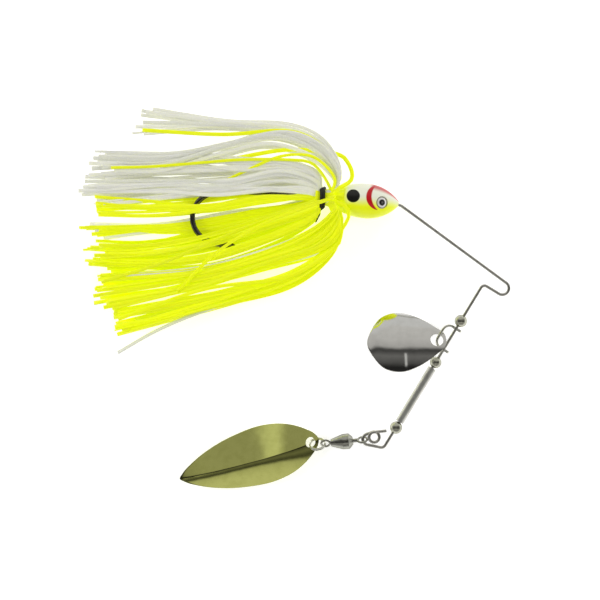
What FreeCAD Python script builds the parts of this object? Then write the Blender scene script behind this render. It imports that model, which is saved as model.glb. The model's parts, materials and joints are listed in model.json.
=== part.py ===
"""A spinnerbait lying on its side: head, hook, skirt, wire form and two swinging blades.

Everything is first laid out flat in the plane of the wire form, with the point where the wire
leaves the head's nose at the origin, +X away from the hook and the upper arm towards -Y.  Each
sub-part is built in a frame of its own and placed in that layout.  The layout is then lifted so
that the lowest point is at z = 0 and centred on the origin.  Millimetres and degrees.
"""
import FreeCAD
import Part
import math
import os
import Sketcher

from FreeCAD import Placement, Rotation, Vector

SIZES = {
    # wire form, as a bending schedule from the nose outwards
    "wire_dia": 1.0, "wire_inner_run": 6.8, "nose_lead": 0.6, "crook_radius": 1.1, "crook_drop": 1.9,
    "leg_dip": 36.3, "leg_run": 42.1, "tie_radius": 2.1, "tie_turn": 175.0,
    "tie_return": 4.6, "arm_bend_radius": 1.3, "arm_bend_turn": 90.0, "arm_run": 59.0,
    "loop_foot_radius": 1.5, "loop_foot_turn": 70.0, "loop_foot_run": 4.3,
    "loop_end_radius": 1.75, "loop_end_turn": 150.0, "loop_top_run": 2.0,
    "coil_radius": 1.65, "coil_rise": 1.06, "tag_run": 4.1, "tag_rise": 6.0,
    # head and collar, along the axis from the nose to the rear
    "head_tilt": 5.0, "head_offset": 0.3, "nose_radius": 0.8, "head_widest_at": 10.3,
    "head_radius": 5.6, "nose_arc_radius": 13.45, "head_length": 17.3, "head_rear_radius": 4.5,
    "rear_arc_radius": 25.0, "rear_edge_radius": 3.9, "rear_edge_at": 17.9,
    "collar_radius": 1.75, "collar_barb_foot": 25.0, "collar_barb_at": 26.2,
    "collar_barb_radius": 2.1, "collar_end": 27.8, "collar_tip_radius": 1.25,
    # eyes
    "eye_at": 5.35, "eye_drop": 0.3, "eye_radius": 2.0, "eye_sink": 1.2, "eye_dome": 3.2,
    "eye_crown": 0.18, "eye_lean": 21.6,
    # hook, from the centre of its own eye
    "hook_dia": 1.7, "hook_eye_at": 7.3, "hook_eye_radius": 1.75, "hook_eye_wire": 0.65,
    "hook_eye_gap": 1.3,
    "shank_run": 44.3, "bend_entry_radius": 13.8, "bend_entry_turn": 38.0,
    "bend_radius": 7.9, "bend_turn": 122.0, "throat_radius": 22.0, "throat_turn": 15.0,
    "spear_run": 3.4, "point_run": 4.4, "point_tip_radius": 0.06,
    "barb_run": 3.0, "barb_height": 0.55, "barb_thick": 0.5, "barb_lean": 0.1,
    "barb_front": 0.51,
    # skirt
    "gather_front": 18.1, "gather_rear": 26.4, "gather_radius": 4.7, "waist_radius": 2.45,
    "gather_bore": 2.2, "band_front": 23.7, "band_rear": 25.2,
    "band_radius": 3.0,
    "fan_clear": 2.25, "fan_thick": 3.0,
    # beads, tube and clevis on the upper arm, measured down the arm from its bend
    "bead_dia": 4.0, "small_bead_dia": 3.7, "bore_clearance": 0.08,
    "bead_top_at": 12.5, "bead_middle_at": 28.0, "bead_bottom_at": 52.4,
    "tube_dia": 2.7, "tube_start": 30.1, "tube_length": 20.2,
    "clevis_at": 19.3, "clevis_span": 7.8, "clevis_reach": 3.8, "clevis_wire": 0.9,
    "clevis_corner": 2.36,
    "ear_thick": 0.8, "ear_width": 2.2, "ear_tail": 2.0, "ear_lead": 1.1, "ear_round": 0.92,
    "ear_bore": 0.6,
    "clevis_roll": -20.0,
    # Colorado blade, from the centre of its hole
    "colorado_length": 25.6, "colorado_width": 20.4, "colorado_hole": 1.8,
    "colorado_tail": 3.2, "colorado_along": 2.4, "colorado_cup": 2.4, "blade_thick": 0.45,
    "colorado_heading": 182.5, "colorado_roll": 22.0,
    # swivel, along its axis from the rotor's eye
    "chain_heading": 186.0, "chain_droop": 5.0, "eye_wire": 0.7, "rotor_eye_radius": 1.5,
    "rotor_roll": 60.0, "neck_radius": 0.62, "neck_start": 1.7, "eye_slack": 0.1, "shaft_end": 7.1,
    "shaft_head_radius": 1.3, "shaft_head_length": 0.9,
    "barrel_front": 3.1, "barrel_lip": 1.25, "barrel_shoulder": 4.3, "barrel_belly": 6.3,
    "barrel_rear": 10.2, "barrel_radius": 2.5, "barrel_tail_radius": 1.15, "barrel_bore": 0.72,
    "barrel_cavity_radius": 1.75, "cavity_front": 4.1, "cavity_rear": 7.5, "stem_radius": 0.55,
    "ball_dia": 0.8, "ball_circle": 1.22, "ball_at": 4.7,
    "fixed_eye_at": 11.9, "fixed_eye_radius": 1.35, "fixed_eye_roll": -40.0,
    "fixed_stem": 1.6,
    # split ring and willow blade
    "ring_radius": 2.45, "ring_wire": 0.5, "ring_pitch": 0.55, "ring_turns": 1.9,
    "ring_at": 14.5, "ring_roll": 54.0,
    "willow_length": 47.0, "willow_width": 18.6, "willow_hole": 1.6, "willow_tail": 3.3,
    "willow_cup": 2.6, "willow_heading": 196.2, "willow_roll": 0.0, "willow_pitch": 1.0,
    "willow_out": 2.385, "willow_side": -1.5, "willow_lift": 0.4,
}

BALL_COUNT = 8

# Shape of a blade's dish: where it is deepest as a share of the blade's half length, how far it runs
# each way as a share of the whole length, how abruptly it ends, and how far past the rim it is level.
DISH_MIDDLE = 1.05
DISH_REACH = 0.56
DISH_FALL = 2.4
DISH_RIM = 1.02
SLAB_MARGIN = 4.0
SLAB_SIDE = 1.15
DISH_STEPS = 14
CUT_DEPTH = 30.0

# Outlines of the two colours of the skirt, in the layout.
WHITE_OUTLINE = [(-28.6, 3.4), (-27.4, 8.2), (-19.4, 8.0), (-19.6, 13.0), (-24.0, 20.6), (-33.0, 26.0),
                 (-48.0, 27.4), (-64.0, 28.6), (-83.0, 31.8), (-93.0, 25.0), (-98.0, 14.0),
                 (-100.6, 4.6)]
CHARTREUSE_OUTLINE = [(-28.6, 2.8), (-100.6, 4.0), (-100.6, -8.0), (-97.6, -24.0), (-92.0, -41.0),
                      (-85.0, -41.2), (-70.0, -36.4), (-56.0, -32.4), (-41.0, -28.2),
                      (-28.0, -22.4), (-20.2, -14.0), (-18.8, -8.0), (-18.6, -4.2),
                      (-27.4, -4.0)]

document = FreeCAD.newDocument("Spinnerbait")
X_AXIS = Vector(1, 0, 0)
Y_AXIS = Vector(0, 1, 0)
Z_AXIS = Vector(0, 0, 1)
ORIGIN = Vector(0, 0, 0)


def make_sheet():
    """Spreadsheet with one named cell per driving dimension."""
    sheet = document.addObject("Spreadsheet::Sheet", "sizes")
    for row, (alias, value) in enumerate(SIZES.items(), start=1):
        sheet.set(f"A{row}", alias)
        sheet.set(f"B{row}", str(value))
        sheet.setAlias(f"B{row}", alias)
    document.recompute()
    return sheet


sizes = make_sheet()


def size(alias):
    """The number in a named cell, or minus that number for a name with a leading minus."""
    if alias == "0":
        return 0.0
    if alias.startswith("-"):
        return -float(sizes.get(alias[1:]))
    return float(sizes.get(alias))


def bind(feature, **names):
    """Bind properties of a feature to cells of the sheet."""
    for name, expression in names.items():
        feature.setExpression(name, expression)


def polar(radius, degrees):
    """Point in the layout plane at a radius and an angle from +X."""
    return Vector(radius * math.cos(math.radians(degrees)), radius * math.sin(math.radians(degrees)), 0)


# ---------------------------------------------------------------- sketches and bodies

def origin_plane(body, role):
    """One of a body's own origin planes."""
    return next(item for item in body.Origin.OriginFeatures if item.Role == role)


def new_body(label):
    """An empty PartDesign body named after its node."""
    body = document.addObject("PartDesign::Body", label)
    body.Label = label
    return body


def new_sketch(body, name, role):
    """An empty sketch on one of the body's origin planes."""
    sketch = body.newObject("Sketcher::SketchObject", name)
    sketch.AttachmentSupport = [(origin_plane(body, role), "")]
    sketch.MapMode = "FlatFace"
    return sketch


def pin_point(sketch, geometry, alias_x, alias_y):
    """Hold the start of a sketch line at two named distances from the sketch's origin."""
    for kind, alias, axis in (("DistanceX", alias_x, -2), ("DistanceY", alias_y, -1)):
        if alias == "0":
            sketch.addConstraint(Sketcher.Constraint("PointOnObject", geometry, 1, axis))
            continue
        index = sketch.addConstraint(Sketcher.Constraint(kind, -1, 1, geometry, 1, size(alias)))
        sign = "-" if alias.startswith("-") else ""
        sketch.setExpression(f"Constraints[{index}]", f"{sign}sizes.{alias.lstrip('-')}")


def bound_outline(body, name, role, corners):
    """Closed outline of straight sides through corners whose coordinates are named cells."""
    sketch = new_sketch(body, name, role)
    points = [Vector(size(a), size(b), 0) for a, b in corners]
    count = len(points)
    for index in range(count):
        sketch.addGeometry(Part.LineSegment(points[index], points[(index + 1) % count]), False)
    for index in range(count):
        sketch.addConstraint(Sketcher.Constraint("Coincident", index, 2, (index + 1) % count, 1))
    for index, (alias_x, alias_y) in enumerate(corners):
        pin_point(sketch, index, alias_x, alias_y)
    return sketch


def revolve_about_x(body, name, corners):
    """Turned solid: an outline of (along, radius) corners swept round the body's X axis."""
    sketch = bound_outline(body, name, "XY_Plane", corners)
    turned = body.newObject("PartDesign::Revolution", name + "_turned")
    turned.Profile = sketch
    turned.ReferenceAxis = (sketch, ["H_Axis"])
    turned.Angle = 360
    document.recompute()
    return turned


# ---------------------------------------------------------------- shapes made of swept wire

class BentWire:
    """Centre line of a wire laid down as straight runs and tangent bends in the layout plane."""

    def __init__(self, start, heading):
        self.place = Vector(start)
        self.heading = heading
        self.edges = []

    def run(self, length):
        """Straight run along the present heading."""
        end = self.place + polar(length, self.heading)
        self.edges.append(Part.makeLine(self.place, end))
        self.place = end

    def bend(self, radius, turn):
        """Bend by a number of degrees, to the left where positive."""
        side = math.copysign(90, turn)
        centre = self.place + polar(radius, self.heading + side)
        middle = centre + polar(radius, self.heading - side + turn / 2)
        end = centre + polar(radius, self.heading - side + turn)
        self.edges.append(Part.Arc(self.place, middle, end).toShape())
        self.place = end
        self.heading += turn

    def rising_coil(self, radius, rise, steps):
        """One full turn to the right that climbs gently out of the plane."""
        centre = self.place + polar(radius, self.heading - 90)
        first = self.heading + 90

        def point(share):
            climb = rise * (share - math.sin(2 * math.pi * share) / (2 * math.pi))
            return centre + polar(radius, first - 360 * share) + Z_AXIS * climb

        for step in range(steps):
            ends = [point((step + part) / steps) for part in (0, 0.5, 1)]
            self.edges.append(Part.Arc(*ends).toShape())
        self.place = point(1)


def swept(edges, radius):
    """Round wire along joined edges."""
    path = Part.Wire(edges)
    first = path.OrderedEdges[0]
    start = first.valueAt(first.FirstParameter)
    along = first.tangentAt(first.FirstParameter)
    profile = Part.Wire(Part.makeCircle(radius, start, along))
    return path.makePipeShell([profile], True, False)


def solid_feature(label, shape):
    """Document object that holds a shape made in code."""
    feature = document.addObject("Part::Feature", label)
    feature.Label = label
    feature.Shape = shape
    return feature


def one_solid(shape):
    """The single solid of a boolean result."""
    return shape.removeSplitter().Solids[0]


# ---------------------------------------------------------------- wire form

def wire_bends():
    """The wire's centre line, and the places on it that other pieces hang from."""
    hidden = size("wire_inner_run") - size("nose_lead")
    wire = BentWire(polar(hidden, 180 - size("head_tilt")), -size("head_tilt"))
    drop = size("crook_drop")
    radius = size("crook_radius")
    back = polar(1, 180 - size("head_tilt"))
    foot = wire.place + back * radius - Z_AXIS * drop
    knee = wire.place + back * radius - Z_AXIS * radius
    elbow = wire.place + back * radius * math.sqrt(0.5) - Z_AXIS * radius * (1 - math.sqrt(0.5))
    wire.edges += [Part.makeLine(foot, knee), Part.Arc(knee, elbow, wire.place).toShape()]
    nose_radius = size("wire_inner_run") / 2
    nose_turn = size("leg_dip") - size("head_tilt")
    lead_in = nose_radius * math.tan(math.radians(nose_turn / 2))
    wire.run(size("wire_inner_run") - lead_in)
    wire.bend(nose_radius, -nose_turn)
    wire.run(size("leg_run") - lead_in)
    wire.bend(size("tie_radius"), -size("tie_turn"))
    tie = Vector(wire.place)
    wire.run(size("tie_return"))
    wire.bend(size("arm_bend_radius"), size("arm_bend_turn"))
    arm_start = Vector(wire.place)
    arm_heading = wire.heading
    wire.run(size("arm_run"))
    wire.bend(size("loop_foot_radius"), -size("loop_foot_turn"))
    wire.run(size("loop_foot_run"))
    wire.bend(size("loop_end_radius"), -size("loop_end_turn") / 2)
    loop_end = Vector(wire.place)
    loop_heading = wire.heading
    wire.bend(size("loop_end_radius"), -size("loop_end_turn") / 2)
    wire.run(size("loop_top_run"))
    wire.bend(size("loop_end_radius"), size("tag_rise") - wire.heading % 360)
    wire.rising_coil(size("coil_radius"), size("coil_rise"), 12)
    wire.run(size("tag_run"))
    return wire, {"tie": tie, "arm_start": arm_start, "arm_heading": arm_heading,
                  "loop_end": loop_end, "loop_heading": loop_heading}


WIRE, PLACES = wire_bends()
ARM_HEADING = PLACES["arm_heading"]
ARM_ALONG = polar(1, ARM_HEADING)


def arm_point(distance):
    """Point on the upper arm's centre line, measured down from its bend."""
    return PLACES["arm_start"] + ARM_ALONG * distance


def arm_placement(distance):
    """Placement that turns a piece's own X axis along the upper arm, at a distance down it."""
    return Placement(arm_point(distance), Rotation(Z_AXIS, ARM_HEADING))


def make_wire_form():
    """The whole wire form as one bent wire with a dressed tag end."""
    return solid_feature("wire_form", swept(WIRE.edges, size("wire_dia") / 2))


# ---------------------------------------------------------------- head, eyes and hook

HEAD_HEADING = 180 - size("head_tilt")
HEAD_PLACEMENT = Placement(polar(size("head_offset"), HEAD_HEADING - 90), Rotation(Z_AXIS, HEAD_HEADING))


def hook_placement():
    """The hook runs back from its eye along the head's axis, its point side towards -Y."""
    eye = polar(size("hook_eye_at"), HEAD_HEADING)
    return Placement(eye, Rotation(Z_AXIS, HEAD_HEADING))


def hook_shape():
    """Long shank, round bend, tapered point with a cut barb, and an eye left open for the wire."""
    radius = size("hook_dia") / 2
    line = BentWire(Vector(size("hook_eye_radius") + radius / 2, 0, 0), 0)
    line.run(size("shank_run"))
    line.bend(size("bend_entry_radius"), size("bend_entry_turn"))
    line.bend(size("bend_radius"), size("bend_turn"))
    line.bend(size("throat_radius"), size("throat_turn"))
    line.run(size("spear_run"))
    body = swept(line.edges, radius)
    along = polar(1, line.heading)
    inward = polar(1, line.heading + 90)
    point = Part.makeCone(radius, size("point_tip_radius"), size("point_run"), line.place, along)
    root = line.place - along * size("barb_run") + inward * radius / 2
    tip = root + along * size("barb_lean") + inward * (radius + size("barb_height"))
    corners = [root, root + along * size("barb_run") + inward * size("barb_front"), tip, root]
    barb = Part.Face(Part.makePolygon(corners)).extrude(Z_AXIS * size("barb_thick"))
    barb.translate(-Z_AXIS * size("barb_thick") / 2)
    eye = Part.makeTorus(size("hook_eye_radius"), size("hook_eye_wire"), ORIGIN, Z_AXIS)
    gap = size("hook_eye_gap")
    opening = Part.makeBox(3 * gap, gap, 2 * gap, Vector(-3.5 * gap, -gap / 2, -gap))
    return one_solid(body.fuse([point, barb, eye.cut(opening)]))


def make_hook():
    """Single hook."""
    return solid_feature("hook", hook_shape())


def eye_placement(side):
    """An eye on one cheek, leaning with the head's taper; side is +1 above, -1 below."""
    taper = size("head_widest_at") - size("eye_at")
    radius = size("nose_arc_radius")
    cheek = size("head_radius") - radius + math.sqrt(radius ** 2 - taper ** 2)
    spot = HEAD_PLACEMENT.multVec(Vector(size("eye_at"), size("eye_drop"), side * cheek))
    lean = Rotation(Z_AXIS, HEAD_HEADING).multiply(Rotation(Y_AXIS, -side * size("eye_lean")))
    if side < 0:
        lean = lean.multiply(Rotation(X_AXIS, 180))
    return Placement(spot, lean)


def eye_shape():
    """Short drum with a domed face, its rim level with z = 0."""
    radius = size("eye_radius")
    dome = size("eye_dome")
    drum = Part.makeCylinder(radius, 2 * size("eye_sink"), Vector(0, 0, -size("eye_sink")))
    drop = math.sqrt(dome ** 2 - radius ** 2)
    ball = Part.makeSphere(dome, Vector(0, 0, size("eye_crown") - drop))
    return one_solid(drum.common(ball))


def make_eye(label, side):
    """One domed eye."""
    return solid_feature(label, eye_shape()), eye_placement(side)


def head_shape():
    """Turned bullet head with its barbed skirt collar."""
    nose = Vector(0, size("nose_radius"), 0)
    widest = Vector(size("head_widest_at"), size("head_radius"), 0)
    rear = Vector(size("head_length"), size("head_rear_radius"), 0)
    step = Vector(size("rear_edge_at"), size("rear_edge_radius"), 0)
    front_drop = size("head_radius") - size("nose_arc_radius")
    half = size("head_widest_at") / 2
    front_mid = Vector(half, front_drop + math.sqrt(size("nose_arc_radius") ** 2 - half ** 2), 0)
    reach = (size("head_length") - size("head_widest_at")) / 2
    rear_drop = size("head_radius") - size("rear_arc_radius")
    rear_mid = Vector(widest.x + reach, rear_drop + math.sqrt(size("rear_arc_radius") ** 2 - reach ** 2), 0)
    corners = [step, Vector(step.x, size("collar_radius"), 0),
               Vector(size("collar_barb_foot"), size("collar_radius"), 0),
               Vector(size("collar_barb_at"), size("collar_barb_radius"), 0),
               Vector(size("collar_end"), size("collar_tip_radius"), 0),
               Vector(size("collar_end"), 0, 0), ORIGIN, nose]
    edges = [Part.Arc(nose, front_mid, widest).toShape(), Part.Arc(widest, rear_mid, rear).toShape(),
             Part.makeLine(rear, step)]
    edges += [Part.makeLine(a, b) for a, b in zip(corners, corners[1:])]
    return Part.Face(Part.Wire(edges)).revolve(ORIGIN, X_AXIS, 360)


def make_head():
    """Lead head cast round the hook's eye and the wire's crook, with a pocket for each eye."""
    to_head = HEAD_PLACEMENT.inverse()
    hook = hook_shape()
    hook.Placement = to_head.multiply(hook_placement())
    wire = swept(WIRE.edges, size("wire_dia") / 2)
    wire.Placement = to_head
    inserts = [hook, wire]
    for side in (1, -1):
        eye = eye_shape()
        eye.Placement = to_head.multiply(eye_placement(side))
        inserts.append(eye)
    solid = max(head_shape().cut(inserts).Solids, key=lambda piece: piece.Volume)
    return solid_feature("lead_head", solid)


# ---------------------------------------------------------------- skirt

def make_gather():
    """The bunched strands: a spool with a waist where the band pinches it."""
    body = new_body("skirt_gather")
    revolve_about_x(body, "spool", [("gather_front", "gather_bore"), ("gather_rear", "gather_bore"),
                                    ("gather_rear", "gather_radius"), ("band_rear", "waist_radius"),
                                    ("band_front", "waist_radius"), ("gather_front", "gather_radius")])
    return body


def make_band():
    """Rubber band in the waist of the gather."""
    body = new_body("skirt_band")
    revolve_about_x(body, "band", [("band_front", "waist_radius"), ("band_rear", "waist_radius"),
                                   ("band_rear", "band_radius"), ("band_front", "band_radius")])
    return body


def make_fan(label, outline):
    """One flat layer of strands of one colour."""
    body = new_body(label)
    sketch = new_sketch(body, label + "_outline", "XY_Plane")
    points = [Vector(x, y, 0) for x, y in outline]
    for start, end in zip(points, points[1:] + points[:1]):
        sketch.addGeometry(Part.LineSegment(start, end), False)
    for index in range(len(points)):
        sketch.addConstraint(Sketcher.Constraint("Coincident", index, 2, (index + 1) % len(points), 1))
    pad = body.newObject("PartDesign::Pad", label + "_pad")
    pad.Profile = sketch
    bind(pad, Length="sizes.fan_thick")
    return body


# ---------------------------------------------------------------- arm hardware

def make_bead(label, diameter_alias):
    """Hollow bead drilled along its X axis."""
    ball = document.addObject("Part::Sphere", label + "_ball")
    bind(ball, Radius=f"sizes.{diameter_alias} / 2")
    ball.Placement = Placement(ORIGIN, Rotation(Y_AXIS, 90))
    drill = document.addObject("Part::Cylinder", label + "_drill")
    bind(drill, Radius="sizes.wire_dia / 2 + sizes.bore_clearance", Height="sizes.bead_dia * 2")
    drill.Placement = Placement(Vector(-size("bead_dia"), 0, 0), Rotation(Y_AXIS, 90))
    bead = document.addObject("Part::Cut", label)
    bead.Base = ball
    bead.Tool = drill
    bead.Label = label
    return bead


def make_tube():
    """Spacer tube along its X axis."""
    outer = document.addObject("Part::Cylinder", "tube_outer")
    bind(outer, Radius="sizes.tube_dia / 2", Height="sizes.tube_length")
    inner = document.addObject("Part::Cylinder", "tube_inner")
    bind(inner, Radius="sizes.wire_dia / 2 + sizes.bore_clearance", Height="sizes.tube_length")
    for cylinder in (outer, inner):
        cylinder.Placement = Placement(ORIGIN, Rotation(Y_AXIS, 90))
    tube = document.addObject("Part::Cut", "spacer_tube")
    tube.Base = outer
    tube.Tool = inner
    tube.Label = "spacer_tube"
    return tube


def make_clevis():
    """Stirrup: a round bow between two flat drilled ears; X runs along the arm, bow towards -Y."""
    half = size("clevis_span") / 2
    reach = size("clevis_reach")
    radius = size("clevis_wire") / 2
    bow = BentWire(Vector(-half, 0, 0), -90)
    curve = size("clevis_corner")
    bow.run(reach - curve)
    bow.bend(curve, 90)
    bow.run(2 * (half - curve))
    bow.bend(curve, 90)
    bow.run(reach - curve)
    solid = swept(bow.edges, radius)
    ears = []
    for place in (-half, half):
        length = size("ear_tail") + size("ear_lead")
        corner = Vector(place - size("ear_thick") / 2, -size("ear_lead"), -size("ear_width") / 2)
        ear = Part.makeBox(size("ear_thick"), length, size("ear_width"), corner)
        ends = [edge for edge in ear.Edges if edge.BoundBox.XLength > size("ear_thick") / 2]
        ears.append(ear.makeFillet(size("ear_round"), ends))
    solid = solid.fuse(ears)
    bore = Part.makeCylinder(size("ear_bore"), 4 * half, Vector(-2 * half, 0, 0), X_AXIS)
    return solid_feature("clevis", one_solid(solid.cut(bore)))


# ---------------------------------------------------------------- blades

def blade_shape(outline, cup, half_width, centre, hole):
    """Cupped sheet: a dished slab trimmed to an outline, with the middle of its hole at the origin.

    The dish is lowest along the blade's middle and level at its rim.
    """
    length = centre * 2
    thick = size("blade_thick")

    def dish(x, y):
        along = 1 - min(1.0, abs(x - centre * DISH_MIDDLE) / (length * DISH_REACH)) ** DISH_FALL
        across = 1 - min(1.0, abs(y) / (half_width * DISH_RIM)) ** 2
        return cup * along * across

    rows = []
    for i in range(DISH_STEPS + 1):
        x = (length + 2 * SLAB_MARGIN) * i / DISH_STEPS - SLAB_MARGIN
        sides = [(2 * j / DISH_STEPS - 1) * half_width * SLAB_SIDE for j in range(DISH_STEPS + 1)]
        rows.append([Vector(x, y, dish(x, y)) for y in sides])
    surface = Part.BSplineSurface()
    surface.interpolate(rows)
    slab = surface.toShape().extrude(Z_AXIS * thick)
    slab.translate(-Z_AXIS * (dish(0, 0) + thick / 2))
    prism = Part.Face(Part.Wire(outline)).extrude(Z_AXIS * CUT_DEPTH)
    prism.translate(-Z_AXIS * CUT_DEPTH / 2)
    drill = Part.makeCylinder(size(hole), CUT_DEPTH, Vector(0, 0, -CUT_DEPTH / 2))
    return max(slab.common(prism).cut(drill).Solids, key=lambda piece: piece.Volume)


def mirrored_outline(points):
    """Closed smooth outline through half an outline from one end on the axis to the other."""
    lower = [Vector(p.x, -p.y, 0) for p in reversed(points[1:-1])]
    curve = Part.BSplineCurve()
    curve.interpolate(Points=points + lower, PeriodicFlag=True)
    return [curve.toShape()]


def colorado_outline():
    """Teardrop: a round bowl that draws in to a small round tail."""
    length = size("colorado_length")
    tail = size("colorado_tail")
    half = size("colorado_width") / 2
    stations = [(-tail, 0.0), (-tail * 0.82, 0.23), (0.0, 0.44), (0.105 * length, 0.63),
                (0.26 * length, 0.85), (0.47 * length, 1.0), (0.67 * length, 0.87),
                (0.8 * length, 0.49), (length - tail, 0.0)]
    return mirrored_outline([Vector(x, share * half, 0) for x, share in stations])


def willow_outline():
    """Willow leaf: pointed far end, widest near the middle, rounded tail."""
    length = size("willow_length")
    tail = size("willow_tail")
    half = size("willow_width") / 2
    reach = length - tail
    stations = [(-tail, 0.0), (-tail * 0.7, 0.24), (0.0, 0.46), (0.14 * reach, 0.83),
                (0.325 * reach, 1.0), (0.5 * reach, 0.945), (0.69 * reach, 0.76),
                (0.88 * reach, 0.41), (0.97 * reach, 0.15), (reach, 0.0)]
    return mirrored_outline([Vector(x, share * half, 0) for x, share in stations])


def make_colorado():
    """Cupped Colorado blade, bulging towards +Z."""
    centre = (size("colorado_length") - size("colorado_tail")) / 2
    shape = blade_shape(colorado_outline(), size("colorado_cup"), size("colorado_width") / 2,
                        centre, "colorado_hole")
    return solid_feature("colorado_blade", shape)


def make_willow():
    """Cupped willow-leaf blade, hollow towards +Z."""
    centre = (size("willow_length") - size("willow_tail")) / 2
    shape = blade_shape(willow_outline(), -size("willow_cup"), size("willow_width") / 2,
                        centre, "willow_hole")
    return solid_feature("willow_blade", shape)


# ---------------------------------------------------------------- swivel and split ring

def chain_placement(distance, roll):
    """Placement along the swivel's axis from the rotor's eye, rolled about that axis."""
    aim = Rotation(Z_AXIS, size("chain_heading")).multiply(Rotation(Y_AXIS, size("chain_droop")))
    spot = PLACES["loop_end"] + aim.multVec(X_AXIS * (distance + size("eye_slack")))
    return Placement(spot, aim.multiply(Rotation(X_AXIS, roll)))


def make_rotor():
    """Turning eye, neck, shaft and bearing head, along +X from the eye's centre."""
    eye = Part.makeTorus(size("rotor_eye_radius"), size("eye_wire") / 2, ORIGIN, Z_AXIS)
    neck_start = size("neck_start")
    shaft = Part.makeCylinder(size("neck_radius"), size("shaft_end") - neck_start,
                              Vector(neck_start, 0, 0), X_AXIS)
    head_at = size("shaft_end") - size("shaft_head_length")
    head = Part.makeCylinder(size("shaft_head_radius"), size("shaft_head_length"),
                             Vector(head_at, 0, 0), X_AXIS)
    return solid_feature("swivel_rotor", one_solid(eye.fuse([shaft, head])))


def make_barrel():
    """Barrel with a chamfered shoulder, a tapering tail and a hollow for shaft head and balls."""
    body = new_body("swivel_barrel")
    revolve_about_x(body, "barrel", [
        ("barrel_front", "barrel_bore"), ("barrel_front", "barrel_lip"),
        ("barrel_shoulder", "barrel_radius"), ("barrel_belly", "barrel_radius"),
        ("barrel_rear", "barrel_tail_radius"), ("barrel_rear", "stem_radius"),
        ("cavity_rear", "stem_radius"), ("cavity_rear", "barrel_cavity_radius"),
        ("cavity_front", "barrel_cavity_radius"), ("cavity_front", "barrel_bore")])
    return body


def make_balls():
    """Ring of bearing balls around the shaft, in front of its head."""
    radius = size("ball_dia") / 2
    balls = []
    for index in range(BALL_COUNT):
        spot = polar(size("ball_circle"), 360 * index / BALL_COUNT)
        balls.append(Part.makeSphere(radius, Vector(size("ball_at"), spot.x, spot.y)))
    return solid_feature("swivel_balls", Part.makeCompound(balls))


def make_fixed_eye():
    """Fixed eye whose stem is held in the barrel's tail, along -X from the eye's centre."""
    eye = Part.makeTorus(size("fixed_eye_radius"), size("eye_wire") / 2, ORIGIN, Z_AXIS)
    start = size("fixed_eye_radius")
    stem = Part.makeCylinder(size("stem_radius"), size("fixed_stem"), Vector(-start, 0, 0), -X_AXIS)
    return solid_feature("swivel_fixed_eye", one_solid(eye.fuse(stem)))


def make_split_ring():
    """Ring of nearly two turns of wire."""
    radius = size("ring_radius")
    turns = size("ring_turns")
    pitch = size("ring_pitch")
    steps = int(turns * 12)
    edges = []

    def point(share):
        angle = 360 * turns * share
        return polar(radius, angle) + Z_AXIS * pitch * (turns * share - turns / 2)

    for step in range(steps):
        ends = [point((step + part) / steps) for part in (0, 0.5, 1)]
        edges.append(Part.Arc(*ends).toShape())
    return solid_feature("split_ring", swept(edges, size("ring_wire") / 2))


# ---------------------------------------------------------------- assembly

def tilt_about_hole(place, heading, roll, pitch):
    """Placement of a blade: hole at a place, long axis on a heading, rolled and pitched."""
    turn = Rotation(Z_AXIS, heading).multiply(Rotation(Y_AXIS, pitch)).multiply(Rotation(X_AXIS, roll))
    return Placement(place, turn)


def clevis_turn():
    """Rotation of the clevis: along the arm, then rolled about it."""
    return Rotation(Z_AXIS, ARM_HEADING).multiply(Rotation(X_AXIS, size("clevis_roll")))


def build():
    """Every sub-part with its placement in the flat layout."""
    arm_hardware = {label: (make_bead(label, alias), arm_placement(size(label + "_at")))
                    for label, alias in (("bead_top", "bead_dia"), ("bead_middle", "small_bead_dia"),
                                         ("bead_bottom", "bead_dia"))}
    clevis_place = Placement(arm_point(size("clevis_at")), clevis_turn())
    hole = clevis_place.multVec(Vector(size("colorado_along"), -size("clevis_reach") + 0.1, 0))
    fan_low = Placement(Z_AXIS * (-size("fan_clear") - size("fan_thick")), Rotation())
    fan_high = Placement(Z_AXIS * size("fan_clear"), Rotation())
    ring_place = chain_placement(size("ring_at"), size("ring_roll"))
    willow_hole = ring_place.multVec(Vector(size("willow_out"), size("willow_side"), size("willow_lift")))
    pieces = {
        "lead_head": (make_head(), HEAD_PLACEMENT),
        "eye_left": make_eye("eye_left", 1),
        "eye_right": make_eye("eye_right", -1),
        "hook": (make_hook(), hook_placement()),
        "wire_form": (make_wire_form(), Placement()),
        "skirt_gather": (make_gather(), HEAD_PLACEMENT),
        "skirt_band": (make_band(), HEAD_PLACEMENT),
        "skirt_white_top": (make_fan("skirt_white_top", WHITE_OUTLINE), fan_high),
        "skirt_white_bottom": (make_fan("skirt_white_bottom", WHITE_OUTLINE), fan_low),
        "skirt_chartreuse_top": (make_fan("skirt_chartreuse_top", CHARTREUSE_OUTLINE), fan_high),
        "skirt_chartreuse_bottom": (make_fan("skirt_chartreuse_bottom", CHARTREUSE_OUTLINE), fan_low),
        **arm_hardware,
        "spacer_tube": (make_tube(), arm_placement(size("tube_start"))),
        "clevis": (make_clevis(), clevis_place),
        "colorado_blade": (make_colorado(), tilt_about_hole(
            hole, size("colorado_heading"), size("colorado_roll"), 0)),
        "swivel_rotor": (make_rotor(), chain_placement(0, size("rotor_roll"))),
        "swivel_balls": (make_balls(), chain_placement(0, 0)),
        "swivel_barrel": (make_barrel(), chain_placement(0, 0)),
        "swivel_fixed_eye": (make_fixed_eye(), chain_placement(
            size("fixed_eye_at"), size("fixed_eye_roll"))),
        "split_ring": (make_split_ring(), ring_place),
        "willow_blade": (make_willow(), tilt_about_hole(
            willow_hole, size("willow_heading"), size("willow_roll"), size("willow_pitch"))),
    }
    return pieces


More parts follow.
